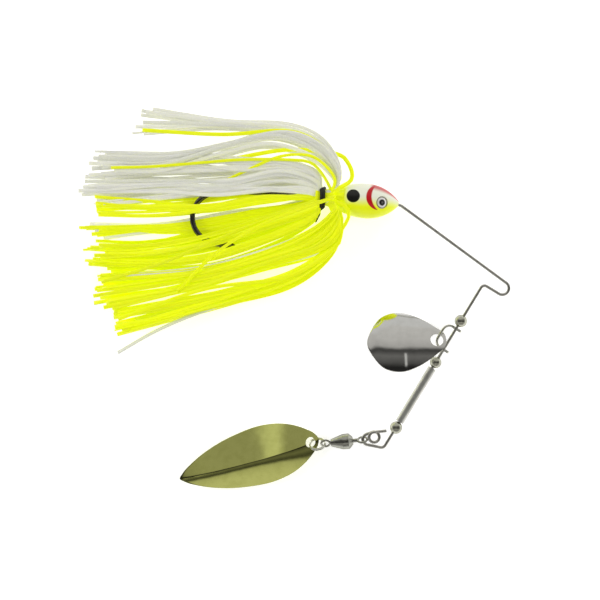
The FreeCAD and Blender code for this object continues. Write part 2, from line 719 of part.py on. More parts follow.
def check(pieces):
    """Stop on any failed object or any sub-part without a sound solid."""
    document.recompute()
    for item in document.Objects:
        if "Invalid" in item.State or "Error" in item.State:
            raise RuntimeError(f"{item.Label} did not build: {item.State}")
    for label, (feature, _) in pieces.items():
        if feature.Shape.isNull() or not feature.Shape.isValid() or not feature.Shape.Solids:
            raise RuntimeError(f"{label} has no sound solid")


def settle(pieces):
    """Place everything, then lift and centre it on the origin; returns the shift."""
    for feature, placement in pieces.values():
        feature.Placement = placement
    document.recompute()
    lows = [[], [], []]
    highs = [[], [], []]
    for feature, _ in pieces.values():
        points, _faces = feature.Shape.tessellate(0.02)
        for axis in range(3):
            lows[axis].append(min(point[axis] for point in points))
            highs[axis].append(max(point[axis] for point in points))
    low = Vector(*(min(values) for values in lows))
    high = Vector(*(max(values) for values in highs))
    shift = Vector(-(low.x + high.x) / 2, -(low.y + high.y) / 2, -low.z)
    for feature, placement in pieces.values():
        feature.Placement = Placement(shift, Rotation()).multiply(placement)
    document.recompute()
    return shift


PIECES = build()
document.recompute()
SHIFT = settle(PIECES)
check(PIECES)
os.makedirs("parts", exist_ok=True)
for node, (piece, _) in PIECES.items():
    piece.Shape.exportStep(f"parts/{node}.step")
print("wrote", len(PIECES), "sub-parts; layout shift", SHIFT)
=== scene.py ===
import json
import math
import random

import bmesh
import bpy
from mathutils import Matrix, Vector


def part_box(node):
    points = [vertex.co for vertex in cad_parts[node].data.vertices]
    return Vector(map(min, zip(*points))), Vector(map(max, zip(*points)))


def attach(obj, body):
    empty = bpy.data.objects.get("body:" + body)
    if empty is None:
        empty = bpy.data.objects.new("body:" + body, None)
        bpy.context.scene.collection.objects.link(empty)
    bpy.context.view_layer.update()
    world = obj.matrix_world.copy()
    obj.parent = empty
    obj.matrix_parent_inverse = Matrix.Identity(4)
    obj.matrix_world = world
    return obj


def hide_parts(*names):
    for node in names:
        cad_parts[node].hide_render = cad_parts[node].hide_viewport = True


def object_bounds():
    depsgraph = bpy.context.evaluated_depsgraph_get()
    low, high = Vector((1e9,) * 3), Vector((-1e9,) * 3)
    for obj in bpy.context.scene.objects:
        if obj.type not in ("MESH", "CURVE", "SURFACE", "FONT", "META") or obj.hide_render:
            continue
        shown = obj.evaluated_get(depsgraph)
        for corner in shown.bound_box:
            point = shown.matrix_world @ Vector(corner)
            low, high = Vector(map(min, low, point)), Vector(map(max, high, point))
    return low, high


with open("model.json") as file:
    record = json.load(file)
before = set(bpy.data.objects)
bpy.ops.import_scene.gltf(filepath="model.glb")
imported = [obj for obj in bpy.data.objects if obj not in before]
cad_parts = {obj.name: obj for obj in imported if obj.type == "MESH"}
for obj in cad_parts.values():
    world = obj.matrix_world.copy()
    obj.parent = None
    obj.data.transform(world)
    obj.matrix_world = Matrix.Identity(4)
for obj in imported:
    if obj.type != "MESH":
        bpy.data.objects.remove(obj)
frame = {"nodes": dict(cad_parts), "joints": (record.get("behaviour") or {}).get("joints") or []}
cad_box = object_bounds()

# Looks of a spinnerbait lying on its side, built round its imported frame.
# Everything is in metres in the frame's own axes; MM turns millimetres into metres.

MM = 0.001
UP = Vector((0, 0, 1))
random.seed(7)

JOINTS = {joint["name"]: joint for joint in frame["joints"]}

# The head's axis lies this far, in degrees, above level towards the rear.
HEAD_TILT = math.radians(5)

# How finely curves are sampled between two of their points.
PATH_STEPS = 12
OUTLINE_STEPS = 40


def middle(node):
    """Centre of a node's box."""
    low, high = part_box(node)
    return (low + high) / 2


BAND_CENTRE = middle("skirt_band")
REARWARD = Vector((-math.cos(HEAD_TILT), math.sin(HEAD_TILT), 0))
SIDEWAYS = Vector((math.sin(HEAD_TILT), math.cos(HEAD_TILT), 0))


def skirt_point(rear, side, lift):
    """Point at millimetres behind the band, towards the skirt's upper edge, and up."""
    return BAND_CENTRE + (REARWARD * rear + SIDEWAYS * side + UP * lift) * MM


# ---------------------------------------------------------------- meshes

class Mesh:
    """Points, faces and one number a point, gathered into one object."""

    def __init__(self):
        self.points = []
        self.faces = []
        self.tints = []

    def add(self, points, faces, tint=0.0):
        """Adds a patch of its own points and faces."""
        first = len(self.points)
        self.points += [tuple(point) for point in points]
        self.faces += [tuple(first + index for index in face) for face in faces]
        self.tints += tint if isinstance(tint, list) else [tint] * len(points)

    def finish(self, name, material, body, slot, nodes):
        """Makes the object, rides it on a body and hides the CAD nodes it stands in for."""
        data = bpy.data.meshes.new(name)
        data.from_pydata(self.points, [], self.faces)
        data.polygons.foreach_set("use_smooth", [True] * len(data.polygons))
        tint = data.attributes.new("tint", "FLOAT", "POINT")
        tint.data.foreach_set("value", self.tints)
        data.validate()
        shell = bmesh.new()
        shell.from_mesh(data)
        bmesh.ops.recalc_face_normals(shell, faces=shell.faces)
        shell.to_mesh(data)
        shell.free()
        data.update()
        piece = bpy.data.objects.new(name, data)
        bpy.context.scene.collection.objects.link(piece)
        data.materials.append(material)
        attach(piece, body)
        if nodes:
            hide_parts(*nodes)
        return piece


def smooth_path(points, steps):
    """Even samples of a smooth curve through points."""
    ends = [points[0] * 2 - points[1]] + points + [points[-1] * 2 - points[-2]]
    fine = []
    for a, b, c, d in zip(ends, ends[1:], ends[2:], ends[3:]):
        for step in range(PATH_STEPS):
            t = step / PATH_STEPS
            fine.append(((b * 2) + (c - a) * t + (a * 2 - b * 5 + c * 4 - d) * t * t
                         + (b * 3 - a - c * 3 + d) * t ** 3) / 2)
    fine.append(points[-1])
    lengths = [0.0]
    for a, b in zip(fine, fine[1:]):
        lengths.append(lengths[-1] + (b - a).length)
    samples = []
    index = 0
    for step in range(steps + 1):
        goal = lengths[-1] * step / steps
        while index < len(lengths) - 2 and lengths[index + 1] < goal:
            index += 1
        share = (goal - lengths[index]) / max(lengths[index + 1] - lengths[index], 1e-9)
        samples.append(fine[index].lerp(fine[index + 1], min(share, 1.0)))
    return samples


def sweep(mesh, path, sections, normal, tint, closed=False):
    """Skin over cross-sections carried along a path without twisting.

    sections gives one list of (across, up) offsets for each sample of the path.
    """
    count = len(path)
    sides = len(sections[0])
    points = []
    for index, place in enumerate(path):
        after = path[(index + 1) % count] if closed else path[min(index + 1, count - 1)]
        before = path[index - 1] if closed else path[max(index - 1, 0)]
        along = (after - before).normalized()
        normal = (normal - along * normal.dot(along)).normalized()
        across = along.cross(normal)
        points += [place + across * a + normal * b for a, b in sections[index]]
    faces = []
    for index in range(count if closed else count - 1):
        a = index * sides
        b = ((index + 1) % count) * sides
        faces += [(a + k, a + (k + 1) % sides, b + (k + 1) % sides, b + k) for k in range(sides)]
    if not closed:
        faces.append(tuple(reversed(range(sides))))
        faces.append(tuple(range((count - 1) * sides, count * sides)))
    mesh.add(points, faces, tint)


def circle_section(radius, sides=16):
    """Round cross-section."""
    return [(radius * math.cos(2 * math.pi * k / sides), radius * math.sin(2 * math.pi * k / sides))
            for k in range(sides)]


def turned(mesh, centre, axis, profile, sides):
    """Surface of revolution of (along, radius) points about an axis."""
    axis = axis.normalized()
    first = axis.orthogonal().normalized()
    second = axis.cross(first)
    points = []
    for along, radius in profile:
        for k in range(sides):
            angle = 2 * math.pi * k / sides
            outward = first * math.cos(angle) + second * math.sin(angle)
            points.append(centre + axis * along + outward * radius)
    faces = []
    for ring in range(len(profile) - 1):
        for k in range(sides):
            a = ring * sides
            b = a + sides
            faces.append((a + k, a + (k + 1) % sides, b + (k + 1) % sides, b + k))
    faces.append(tuple(reversed(range(sides))))
    faces.append(tuple(range((len(profile) - 1) * sides, len(profile) * sides)))
    mesh.add(points, faces)


# ---------------------------------------------------------------- materials

class Nodes:
    """Short hand for a material's node tree."""

    def __init__(self, name):
        self.material = bpy.data.materials.new(name)
        self.material.use_nodes = True
        self.tree = self.material.node_tree
        self.shader = self.tree.nodes["Principled BSDF"]

    def set(self, **values):
        """Constants on the shader's own sockets; underscores stand for spaces."""
        for name, value in values.items():
            self.shader.inputs[name.replace("_", " ")].default_value = value
        return self

    def node(self, kind, **values):
        """New node with its inputs or properties set."""
        item = self.tree.nodes.new(kind)
        for name, value in values.items():
            if hasattr(item, name):
                setattr(item, name, value)
            else:
                item.inputs[name.replace("_", " ")].default_value = value
        return item

    def link(self, source, target):
        """Joins an output to an input."""
        self.tree.links.new(source, target)

    def math(self, operation, *values):
        """Maths node on outputs or numbers; returns its output."""
        item = self.node("ShaderNodeMath", operation=operation)
        for index, value in enumerate(values):
            if isinstance(value, (int, float)):
                item.inputs[index].default_value = value
            else:
                self.link(value, item.inputs[index])
        return item.outputs[0]

    def length(self, first, second):
        """Length of two distances at right angles."""
        squares = [self.math("MULTIPLY", side, side) for side in (first, second)]
        return self.math("SQRT", self.math("ADD", *squares))

    def blend(self, value, limits):
        """0 to 1 between two limits given in millimetres."""
        return self.step(value, limits[0] * MM, limits[1] * MM)

    def place(self):
        """Position in the frame's axes."""
        return self.node("ShaderNodeTexCoord").outputs["Object"]

    def along(self, origin, direction):
        """Signed distance in metres past a point in a direction."""
        offset = self.node("ShaderNodeVectorMath", operation="SUBTRACT")
        self.link(self.place(), offset.inputs[0])
        offset.inputs[1].default_value = origin
        dot = self.node("ShaderNodeVectorMath", operation="DOT_PRODUCT")
        self.link(offset.outputs[0], dot.inputs[0])
        dot.inputs[1].default_value = direction
        return dot.outputs["Value"]

    def step(self, value, low, high):
        """0 below low, 1 above high, smooth between."""
        item = self.node("ShaderNodeMapRange", interpolation_type="SMOOTHSTEP")
        self.link(value, item.inputs["Value"])
        item.inputs["From Min"].default_value = low
        item.inputs["From Max"].default_value = high
        return item.outputs["Result"]

    def mix(self, share, first, second):
        """Blend of two colours, each a tuple or an output."""
        item = self.node("ShaderNodeMix", data_type="RGBA")
        for name, value in (("Factor", share), ("A", first), ("B", second)):
            sockets = [s for s in item.inputs if s.name == name and s.enabled]
            if isinstance(value, (tuple, float, int)):
                sockets[0].default_value = (*value, 1) if isinstance(value, tuple) else value
            else:
                self.link(value, sockets[0])
        return next(s for s in item.outputs if s.enabled)

    def noise(self, scale, detail=3.0):
        """Noise value over the frame's axes, with scale in cells per metre."""
        item = self.node("ShaderNodeTexNoise", Scale=scale, Detail=detail)
        self.link(self.place(), item.inputs["Vector"])
        return item.outputs[0]

    def bump(self, height, distance, strength=1.0):
        """Bump from a height."""
        item = self.node("ShaderNodeBump", Strength=strength, Distance=distance)
        self.link(height, item.inputs["Height"])
        self.link(item.outputs[0], self.shader.inputs["Normal"])

    def colour(self, output):
        """Links a colour to the shader."""
        self.link(output, self.shader.inputs["Base Color"])

    def rough(self, value, low, high):
        """Roughness that runs from low to high with a 0 to 1 value."""
        self.link(self.math("ADD", self.math("MULTIPLY", value, high - low), low),
                  self.shader.inputs["Roughness"])


def metal(name, colour, dark, rough_low, rough_high, grain, wave=0.0):
    """Plated or drawn metal: faint tarnish, fine grain, uneven polish and a slow wave if stamped."""
    nodes = Nodes(name).set(Metallic=1.0, Specular_Tint=(0.35, 0.35, 0.32, 1))
    blotches = nodes.noise(420)
    nodes.colour(nodes.mix(nodes.step(blotches, 0.35, 0.75), colour, dark))
    nodes.rough(nodes.noise(900), rough_low, rough_high)
    fine = nodes.math("MULTIPLY", nodes.noise(grain, 2.0), 0.06)
    slow = nodes.math("MULTIPLY", nodes.noise(110, 2.0), wave)
    nodes.bump(nodes.math("ADD", fine, slow), 0.0001, 0.5)
    return nodes.material


def silicone(name, colour, shade, painted_glow):
    """Skirt silicone: slightly clear, with a painted glow in its own colour that fills the shade between
    strands; each strand a little different.
    """
    nodes = Nodes(name).set(Roughness=0.38, Coat_Weight=0.15, Coat_Roughness=0.3)
    nodes.set(Subsurface_Weight=0.35, Subsurface_Radius=(0.5, 0.5, 0.3), Subsurface_Scale=0.0012)
    # Emission in the silicone's own colour is a painted glow that lifts the shade in the grooves between
    # strands.
    nodes.set(Emission_Strength=painted_glow, Emission_Color=(*colour, 1))
    tint = nodes.node("ShaderNodeAttribute", attribute_name="tint").outputs["Fac"]
    fleck = nodes.step(nodes.noise(2600), 0.5, 0.72)
    base = nodes.mix(tint, colour, shade)
    lighter = tuple(min(1.0, c * 1.12) for c in colour)
    nodes.colour(nodes.mix(nodes.math("MULTIPLY", fleck, 0.5), base, lighter))
    nodes.bump(nodes.noise(1500), 0.00006, 0.4)
    return nodes.material


def rubber(name, colour):
    """Matt black rubber."""
    nodes = Nodes(name).set(Roughness=0.6)
    nodes.colour(nodes.mix(nodes.noise(1200), colour, tuple(c * 2.5 for c in colour)))
    nodes.bump(nodes.noise(3000), 0.00005, 0.6)
    return nodes.material


def floor_paint():
    """Pale matt sweep that lifts its own shadows a little."""
    nodes = Nodes("floor_pale").set(Roughness=0.9, Emission_Strength=0.52)
    nodes.set(Emission_Color=(1, 1, 1, 1), Base_Color=(0.93, 0.93, 0.93, 1))
    return nodes.material


# ---------------------------------------------------------------- head paint

NOSE_TO_BAND = 24.45
NOSE = BAND_CENTRE - REARWARD * NOSE_TO_BAND * MM

CHARTREUSE_PAINT = (0.84, 0.92, 0.004)
WHITE_PAINT = (0.78, 0.79, 0.66)
BLUSH_PAINT = (0.50, 0.012, 0.02)
GILL_PAINT = (0.46, 0.006, 0.012)
SPOT_PAINT = (0.006, 0.006, 0.005)

# Round marks as distance behind the nose, distance towards the upper side, radius and softness, in
# millimetres.  The gill is the outer round less the inner one.
GILL_OUTER = (6.55, 1.3, 4.1, 0.14)
GILL_INNER = (3.75, 1.6, 5.2, 0.20)
SPOT = (14.75, 1.0, 2.1, 0.08)

# Where the colours blend, from and to, in millimetres; the blush's edge is a share of the girth.
BELLY_BLEND = (-2.1, 1.6)
COLLAR_BLEND = (16.2, 17.6)
BLUSH_END = (8.0, 10.0)
BLUSH_EDGE = (0.55, 0.86)


def head_paint():
    """White over chartreuse, red gill mark, black spot and a blush along the nose's upper edge."""
    nodes = Nodes("head_enamel").set(Roughness=0.28, Coat_Weight=0.2, Coat_Roughness=0.05)
    # The enamel's emission at 0.12 is a painted glow that evens out the head's shading.
    nodes.set(Specular_IOR_Level=0.3, Emission_Strength=0.12)
    rear = nodes.along(NOSE, REARWARD)
    side = nodes.along(NOSE, SIDEWAYS)

    def disc(at_rear, at_side, radius, soft):
        """1 inside a round spot seen from either cheek."""
        away_rear = nodes.math("SUBTRACT", rear, at_rear * MM)
        away_side = nodes.math("SUBTRACT", side, at_side * MM)
        inside = nodes.step(nodes.length(away_rear, away_side), (radius - soft) * MM, (radius + soft) * MM)
        return nodes.math("SUBTRACT", 1.0, inside)

    wave = nodes.math("MULTIPLY", nodes.math("SUBTRACT", nodes.noise(260), 0.5), 0.0016)
    belly = nodes.blend(nodes.math("ADD", side, wave), BELLY_BLEND)
    colour = nodes.mix(belly, CHARTREUSE_PAINT, WHITE_PAINT)
    collar = nodes.blend(nodes.math("ADD", rear, wave), COLLAR_BLEND)
    colour = nodes.mix(nodes.math("MULTIPLY", collar, 0.8), colour, CHARTREUSE_PAINT)
    girth = nodes.length(side, nodes.along(NOSE, UP))
    edge = nodes.step(nodes.math("DIVIDE", side, girth), *BLUSH_EDGE)
    nose_only = nodes.math("SUBTRACT", 1.0, nodes.blend(rear, BLUSH_END))
    blush = nodes.math("MULTIPLY", edge, nose_only)
    colour = nodes.mix(nodes.math("MULTIPLY", blush, 0.95), colour, BLUSH_PAINT)
    gill = nodes.math("MAXIMUM", nodes.math("SUBTRACT", disc(*GILL_OUTER), disc(*GILL_INNER)), 0.0)
    colour = nodes.mix(gill, colour, GILL_PAINT)
    colour = nodes.mix(disc(*SPOT), colour, SPOT_PAINT)
    nodes.colour(colour)
    # The paint colour also drives the painted glow.
    nodes.link(colour, nodes.shader.inputs["Emission Color"])
    nodes.bump(nodes.noise(700), 0.00008, 0.15)
    return nodes.material


# ---------------------------------------------------------------- skirt

STRAND_WIDTH = 1.32
STRAND_THICK = 0.45
LOWEST_LIFT = -4.7
STRAND_STEPS = 44

# Where the hook's bend lies, in millimetres behind the band and across.
BEND_REAR = 41.0
BEND_LOW = -17.5
BEND_HIGH = -8.5

# Bundles of strands: colour, count, outward or inward root, heights, and the routes of the bundle's
# two edges as (behind the band, towards the upper side) in millimetres.  A strand lies somewhere
# between its bundle's edges, above and below the hook in turn.
BUNDLES = [
    ("white", 8, "folded", (5.0, 5.0, 3.6),
     [(-4.9, 8.8), (1.3, 17.2), (13.0, 21.2), (33.8, 21.5), (61.5, 25.3)],
     [(-4.6, 7.0), (2.9, 15.3), (13.9, 18.7), (36.0, 19.2), (63.5, 15.2)]),
    ("white", 14, "folded", (5.4, 4.8, 2.6),
     [(-4.8, 8.2), (1.9, 16.5), (14.0, 19.9), (31.4, 14.8), (49.4, 10.0), (74.8, 8.1)],
     [(-4.2, 5.2), (3.9, 12.2), (18.4, 15.4), (32.9, 11.1), (51.3, 3.9), (66.6, 2.3)]),
    ("white", 18, "straight", (3.0, 3.2, 1.8),
     [(2.3, 7.6), (12.0, 10.0), (26.8, 9.6), (42.3, 10.0), (74.8, 8.1)],
     [(3.2, 4.5), (14.7, 7.1), (29.2, 2.9), (46.2, 0.8), (77.1, -3.4)]),
    ("white", 15, "straight", (2.6, 2.6, 1.6),
     [(3.2, 5.1), (14.7, 6.5), (32.0, 0.8), (49.8, 0.5), (77.1, -3.4)],
     [(5.2, 0.8), (17.1, 0.1), (34.7, -1.8), (52.3, -5.1), (76.3, -8.7)]),
    ("chartreuse", 9, "straight", (2.2, 2.4, 1.8),
     [(5.2, 0.2), (19.9, -1.4), (37.5, -4.4), (55.2, -6.0), (72.2, -8.0)],
     [(5.1, -1.0), (19.8, -2.3), (36.0, -7.3), (53.6, -10.6), (74.6, -11.7)]),
    ("white", 5, "straight", (2.6, 3.0, 2.4),
     [(9.1, -2.6), (17.6, -5.4), (27.5, -7.4), (37.3, -9.3), (55.0, -13.4), (75.8, -14.7)],
     [(8.7, -3.4), (16.5, -6.5), (28.3, -9.5), (41.4, -13.1), (56.8, -16.5), (67.6, -19.6)]),
    ("chartreuse", 10, "straight", (2.4, 2.4, 1.6),
     [(9.0, -3.2), (17.6, -6.2), (28.3, -9.6), (41.4, -12.6), (55.0, -13.8), (75.8, -15.4)],
     [(10.7, -4.4), (22.3, -8.4), (36.7, -12.7), (54.3, -15.4), (75.2, -17.7)]),
    ("chartreuse", 26, "straight", (3.2, 3.0, 1.6),
     [(4.9, -2.7), (19.4, -7.6), (39.5, -14.7), (57.0, -19.2), (74.1, -20.7)],
     [(1.6, -7.2), (12.8, -14.1), (32.9, -23.0), (53.3, -27.2), (71.9, -28.9)]),
    ("white", 2, "folded", (4.4, 3.6, 2.8),
     [(-4.1, -3.7), (3.6, -11.0), (18.4, -18.8), (38.6, -25.9), (69.0, -30.9)],
     [(-6.4, -10.1), (-1.1, -17.7), (15.0, -23.8), (35.1, -31.5), (69.1, -40.7)]),
    ("chartreuse", 24, "folded", (5.4, 4.4, 2.6),
     [(-4.1, -3.7), (3.6, -11.0), (18.4, -18.8), (38.6, -25.9), (69.0, -30.9)],
     [(-6.4, -10.1), (-1.1, -17.7), (15.0, -23.8), (35.1, -31.5), (69.1, -40.7)]),
    ("chartreuse", 24, "folded", (4.8, 4.0, 2.2),
     [(-6.7, -6.5), (-4.0, -16.2), (8.8, -26.3), (29.0, -32.8), (62.6, -42.9)],
     [(-6.3, -12.5), (-2.0, -20.6), (8.6, -29.2), (27.5, -37.1), (61.2, -49.0)]),
]

# Single strands that stray from the bundles: colour, heights and route.
STRAYS = [
    ("white", (3.0, 2.4, 1.6), [(-6.6, -11.8), (-2.5, -19.3), (8.6, -28.6), (28.7, -36.9),
                                (46.9, -45.9), (60.7, -55.2)]),
    ("chartreuse", (4.6, 3.0, 0.3), [(-5.2, 3.2), (-8.4, 5.6), (-8.7, 8.4), (-7.0, 11.6), (-4.6, 13.6),
                                     (1.2, 14.4), (14.0, 13.8), (32.0, 9.0)]),
    ("chartreuse", (5.4, 6.2, 0.3), [(-3.2, 6.2), (2.0, 11.2), (7.4, 12.5), (15.0, 11.2), (23.6, 6.9),
                                     (34.0, 1.0)]),
    ("chartreuse", (4.4, 4.8, 3.2), [(3.6, 9.8), (12.0, 10.6), (26.8, 9.3), (38.5, 7.4), (54.3, 4.8),
                                     (67.8, 3.3)]),
    ("chartreuse", (5.6, 6.2, 3.8), [(-3.8, -0.2), (4.8, -3.9), (19.1, -11.1), (32.4, -21.2),
                                     (43.2, -34.0)]),
    ("chartreuse", (5.8, 6.0, 3.6), [(-3.2, -0.3), (7.7, -4.8), (24.8, -12.8), (47.6, -24.9),
                                     (67.6, -33.2)]),
    ("chartreuse", (4.6, 5.6, 3.4), [(-5.7, -1.8), (-8.1, -2.8), (-8.8, -6.3), (-7.0, -10.0),
                                     (-5.2, -16.1), (8.8, -26.3), (35.0, -32.7), (61.3, -44.5)]),
    ("chartreuse", (3.6, 4.9, 4.0), [(-4.9, 8.0), (2.0, 16.2), (13.4, 19.6), (33.4, 16.8), (58.8, 16.0)]),
]


def ribbon_section(width, thick, roll):
    """Flat strand with rounded edges, rolled about its length."""
    corner = 0.3
    short = corner * thick / width
    outline = [(0.5, 0.5 - corner), (0.5 - short, 0.5), (-0.5 + short, 0.5), (-0.5, 0.5 - corner),
               (-0.5, corner - 0.5), (-0.5 + short, -0.5), (0.5 - short, -0.5), (0.5, corner - 0.5)]
    turn = Matrix.Rotation(roll, 2)
    return [tuple(turn @ Vector((a * width * MM, b * thick * MM))) for a, b in outline]


def strand(mesh, route, side, rooted, heights, lie=0.5):
    """One silicone strand from under the band to its tip, above (1) or below (-1) the hook.

    lie is how far, in radians, it may roll about its own length.
    """
    shoulder, halfway, tip = heights
    flat = [Vector((rear, across)) for rear, across in route]
    last = len(flat) - 1
    points = []
    for index, place in enumerate(flat):
        share = index / last
        lift = shoulder + (halfway - shoulder) * share * 2 if share < 0.5 else \
            halfway + (tip - halfway) * (share * 2 - 1)
        points.append(skirt_point(place.x, place.y, max(side * lift, LOWEST_LIFT)))
    angle = math.atan2(flat[0].y, abs(flat[0].x) + 2)
    core = 2.0
    root = [skirt_point(0.8, core * math.sin(angle), side * core * math.cos(angle) * 0.9)]
    if rooted == "folded":
        root.append(skirt_point(-2.6, 2.5 * math.sin(angle), side * 2.7))
    path = smooth_path(root + points, STRAND_STEPS)
    roll = random.uniform(-lie, lie)
    twist = max(-0.8, min(0.8, random.gauss(0, lie)))
    width = STRAND_WIDTH * random.uniform(0.86, 1.08)
    sections = []
    for index in range(len(path)):
        share = index / STRAND_STEPS
        sections.append(ribbon_section(width, STRAND_THICK, roll * min(1, share * 3) + twist * share))
    sweep(mesh, path, sections, UP * side, random.random() ** 1.5)


def between(first, second, share, drift, sway, stretch):
    """Route part-way between two routes, drifting and swaying a little, cut to its own length."""
    route = []
    for index, (a, b) in enumerate(zip(first, second)):
        along = index / (len(first) - 1)
        part = min(1.0, max(0.0, share + drift * along ** 2))
        rear = a[0] + (b[0] - a[0]) * part
        across = a[1] + (b[1] - a[1]) * part
        route.append((rear * (1 + stretch * along ** 3), across + sway * math.sin(along * math.pi * 1.3)
                      * (1 if index else 0)))
    return route


def crosses_bend(route):
    """How likely a strand is to pass under the hook's bend rather than over it."""
    for (rear, across), (next_rear, next_across) in zip(route, route[1:]):
        if rear <= BEND_REAR < next_rear:
            level = across + (next_across - across) * (BEND_REAR - rear) / (next_rear - rear)
            return 0.85 if BEND_LOW < level < BEND_HIGH else 0.0
    return 0.0


def extended(first, second):
    """Two routes with as many points as each other."""
    short, long = sorted((first, second), key=len)
    while len(short) < len(long):
        middle_point = tuple((a + b) / 2 for a, b in zip(short[-2], short[-1]))
        short = short[:-1] + [middle_point] + short[-1:]
    return (short, long) if len(first) <= len(second) else (long, short)


def make_skirt(materials):
    """All the strands, one piece for each colour and side, in place of the four slabs."""
    meshes = {(colour, side): Mesh() for colour in ("white", "chartreuse") for side in (1, -1)}
    for colour, count, rooted, heights, upper, lower in BUNDLES:
        upper, lower = extended(upper, lower)
        for index in range(count):
            share = min(1.0, max(0.0, (index + random.uniform(-0.35, 0.35)) / (count - 1)))
            drift = random.gauss(0, 0.16)
            sway = random.gauss(0, 0.9)
            route = between(upper, lower, share, drift, sway, random.uniform(-0.10, 0.02))
            side = -1 if index % 2 or random.random() < crosses_bend(route) else 1
            lifts = tuple(value * random.uniform(0.75, 1.1) for value in heights)
            strand(meshes[colour, side], route, side, rooted, lifts)
    for colour, heights, route in STRAYS:
        strand(meshes[colour, 1], route, 1, "folded", heights, 0.15)
    names = {1: "top", -1: "bottom"}
    for (colour, side), mesh in meshes.items():
        mesh.finish(f"strands_{colour}_{names[side]}", materials[colour], "frame", "skirt_" + colour,
                    [f"skirt_{colour}_{names[side]}"])


# The bunched middle, in millimetres from the band: its front end, its length, its waist under the
# band, how much it widens, the distance over which it widens rearwards, and its ribs.
GATHER_FRONT = -6.9
GATHER_LENGTH = 9.2
GATHER_WAIST = 2.35
GATHER_SPREAD = 1.85
GATHER_REAR = 5.0
GATHER_RIBS = 11
GATHER_RIB_HEIGHT = 0.17


def make_gather(material):
    """The strands' bunched middles inside the fold, ribbed where each strand runs."""
    mesh = Mesh()
    rings = 30
    sides = 96
    points = []
    for ring in range(rings + 1):
        rear = GATHER_FRONT + GATHER_LENGTH * ring / rings
        flare = rear / GATHER_FRONT if rear < 0 else rear / GATHER_REAR
        radius = GATHER_WAIST + GATHER_SPREAD * flare ** 1.3
        for k in range(sides):
            angle = 2 * math.pi * k / sides
            ridge = abs(math.sin(angle * GATHER_RIBS + rear * 0.25)) * min(1, flare * 2 + 0.35)
            out = radius + GATHER_RIB_HEIGHT * ridge
            points.append(skirt_point(rear, out * math.cos(angle), out * math.sin(angle)))
    faces = [(r * sides + k, r * sides + (k + 1) % sides, (r + 1) * sides + (k + 1) % sides,
              (r + 1) * sides + k) for r in range(rings) for k in range(sides)]
    faces.append(tuple(range(sides)))
    faces.append(tuple(reversed(range(rings * sides, (rings + 1) * sides))))
    mesh.add(points, faces, 0.4)
    mesh.finish("skirt_core", material, "frame", "skirt_chartreuse", ["skirt_gather"])


# Where the band's two turns lie, how far they waver, and their two radii, in millimetres.
BAND_TURNS = (-0.45, 0.45)
BAND_WAVER = 0.15
BAND_RADIUS = 3.0
BAND_THICK = 0.5
BAND_POINTS = 64


def make_band(material):
    """Black rubber band, wound twice, knotted below, with a thin tail."""
    mesh = Mesh()
    for turn, rear in enumerate(BAND_TURNS):
        ring = []
        for k in range(BAND_POINTS):
            angle = 2 * math.pi * k / BAND_POINTS
            ring.append(skirt_point(rear + BAND_WAVER * math.sin(angle * 2 + turn),
                                    BAND_RADIUS * math.cos(angle), BAND_RADIUS * math.sin(angle)))
        sweep(mesh, ring, [circle_section(BAND_THICK * MM, 12)] * BAND_POINTS, REARWARD, 0.0, closed=True)
    knot = [skirt_point(-0.9, -2.9, 1.6), skirt_point(0.0, -3.5, 2.2), skirt_point(0.7, -2.9, 1.7),
            skirt_point(-0.1, -2.5, 2.4), skirt_point(-0.7, -3.3, 2.0), skirt_point(0.3, -4.4, 2.0),
            skirt_point(0.5, -6.0, 2.4), skirt_point(1.4, -8.4, 2.8)]
    path = smooth_path(knot, 48)
    sweep(mesh, path, [circle_section((0.42 - 0.24 * i / 48) * MM, 10) for i in range(49)], UP, 0.0)
    mesh.finish("band_wound", material, "frame", "band_rubber", ["skirt_band"])


# ---------------------------------------------------------------- blades

def closed_curve(points, count):
    """Evenly spaced points on a smooth closed curve through points."""
    total = len(points)
    spans = [(points[(i + 1) % total] - points[i]).length for i in range(total)]
    slopes = []
    for i in range(total):
        before = (points[i] - points[i - 1]) / spans[i - 1]
        after = (points[(i + 1) % total] - points[i]) / spans[i]
        slopes.append((before * spans[i] + after * spans[i - 1]) / (spans[i] + spans[i - 1]))
    fine = []
    for i in range(total):
        j = (i + 1) % total
        for step in range(OUTLINE_STEPS):
            t = step / OUTLINE_STEPS
            fine.append(points[i] * (2 * t ** 3 - 3 * t ** 2 + 1) + points[j] * (3 * t ** 2 - 2 * t ** 3)
                        + slopes[i] * spans[i] * (t ** 3 - 2 * t ** 2 + t)
                        + slopes[j] * spans[i] * (t ** 3 - t ** 2))
    lengths = [0.0]
    for i, place in enumerate(fine):
        lengths.append(lengths[-1] + (fine[(i + 1) % len(fine)] - place).length)
    even = []
    index = 0
    for step in range(count):
        goal = lengths[-1] * step / count
        while lengths[index + 1] < goal:
            index += 1
        share = (goal - lengths[index]) / (lengths[index + 1] - lengths[index])
        even.append(fine[index].lerp(fine[(index + 1) % len(fine)], share))
    return even


